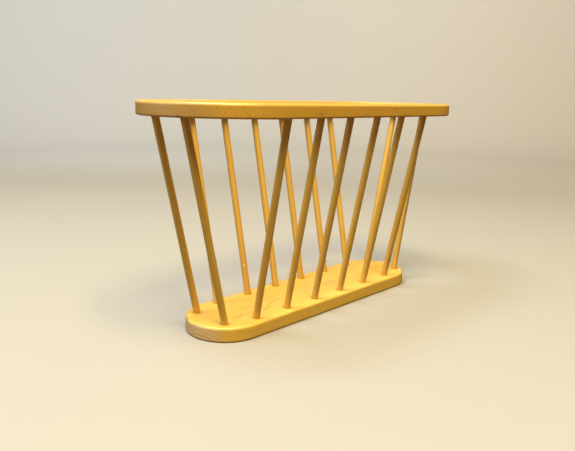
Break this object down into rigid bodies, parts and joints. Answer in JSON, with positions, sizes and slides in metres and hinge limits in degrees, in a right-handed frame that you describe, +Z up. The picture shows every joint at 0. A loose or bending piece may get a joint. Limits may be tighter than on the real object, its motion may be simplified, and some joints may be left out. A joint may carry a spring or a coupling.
{
  "type": "magazine rack",
  "caption": "Wooden spindle magazine rack: a long round-ended base board and a larger open rim of the same outline, joined by round dowels that lean outwards.",
  "frame": {"origin": "middle of the base board's underside, on the surface that the rack stands on", "axes": "+Z up, +X along the long side of the rack, +Y from the front row of dowels towards the back row"},
  "size_m": [0.556, 0.226, 0.305],
  "materials": {
    "base_board": "clear satin lacquer",
    "top_rim": "clear satin lacquer",
    "dowels": "clear satin lacquer"
  },
  "bodies": {
    "root": {"base_board": "base_board", "top_rim": "top_rim", "front_dowel_1": "dowels", "front_dowel_2": "dowels", "front_dowel_3": "dowels", "front_dowel_4": "dowels", "front_dowel_5": "dowels", "front_dowel_6": "dowels", "back_dowel_1": "dowels", "back_dowel_2": "dowels", "back_dowel_3": "dowels", "back_dowel_4": "dowels", "back_dowel_5": "dowels", "back_dowel_6": "dowels", "left_end_dowel_1": "dowels", "left_end_dowel_2": "dowels", "right_end_dowel_1": "dowels", "right_end_dowel_2": "dowels"}
  },
  "joints": []
}
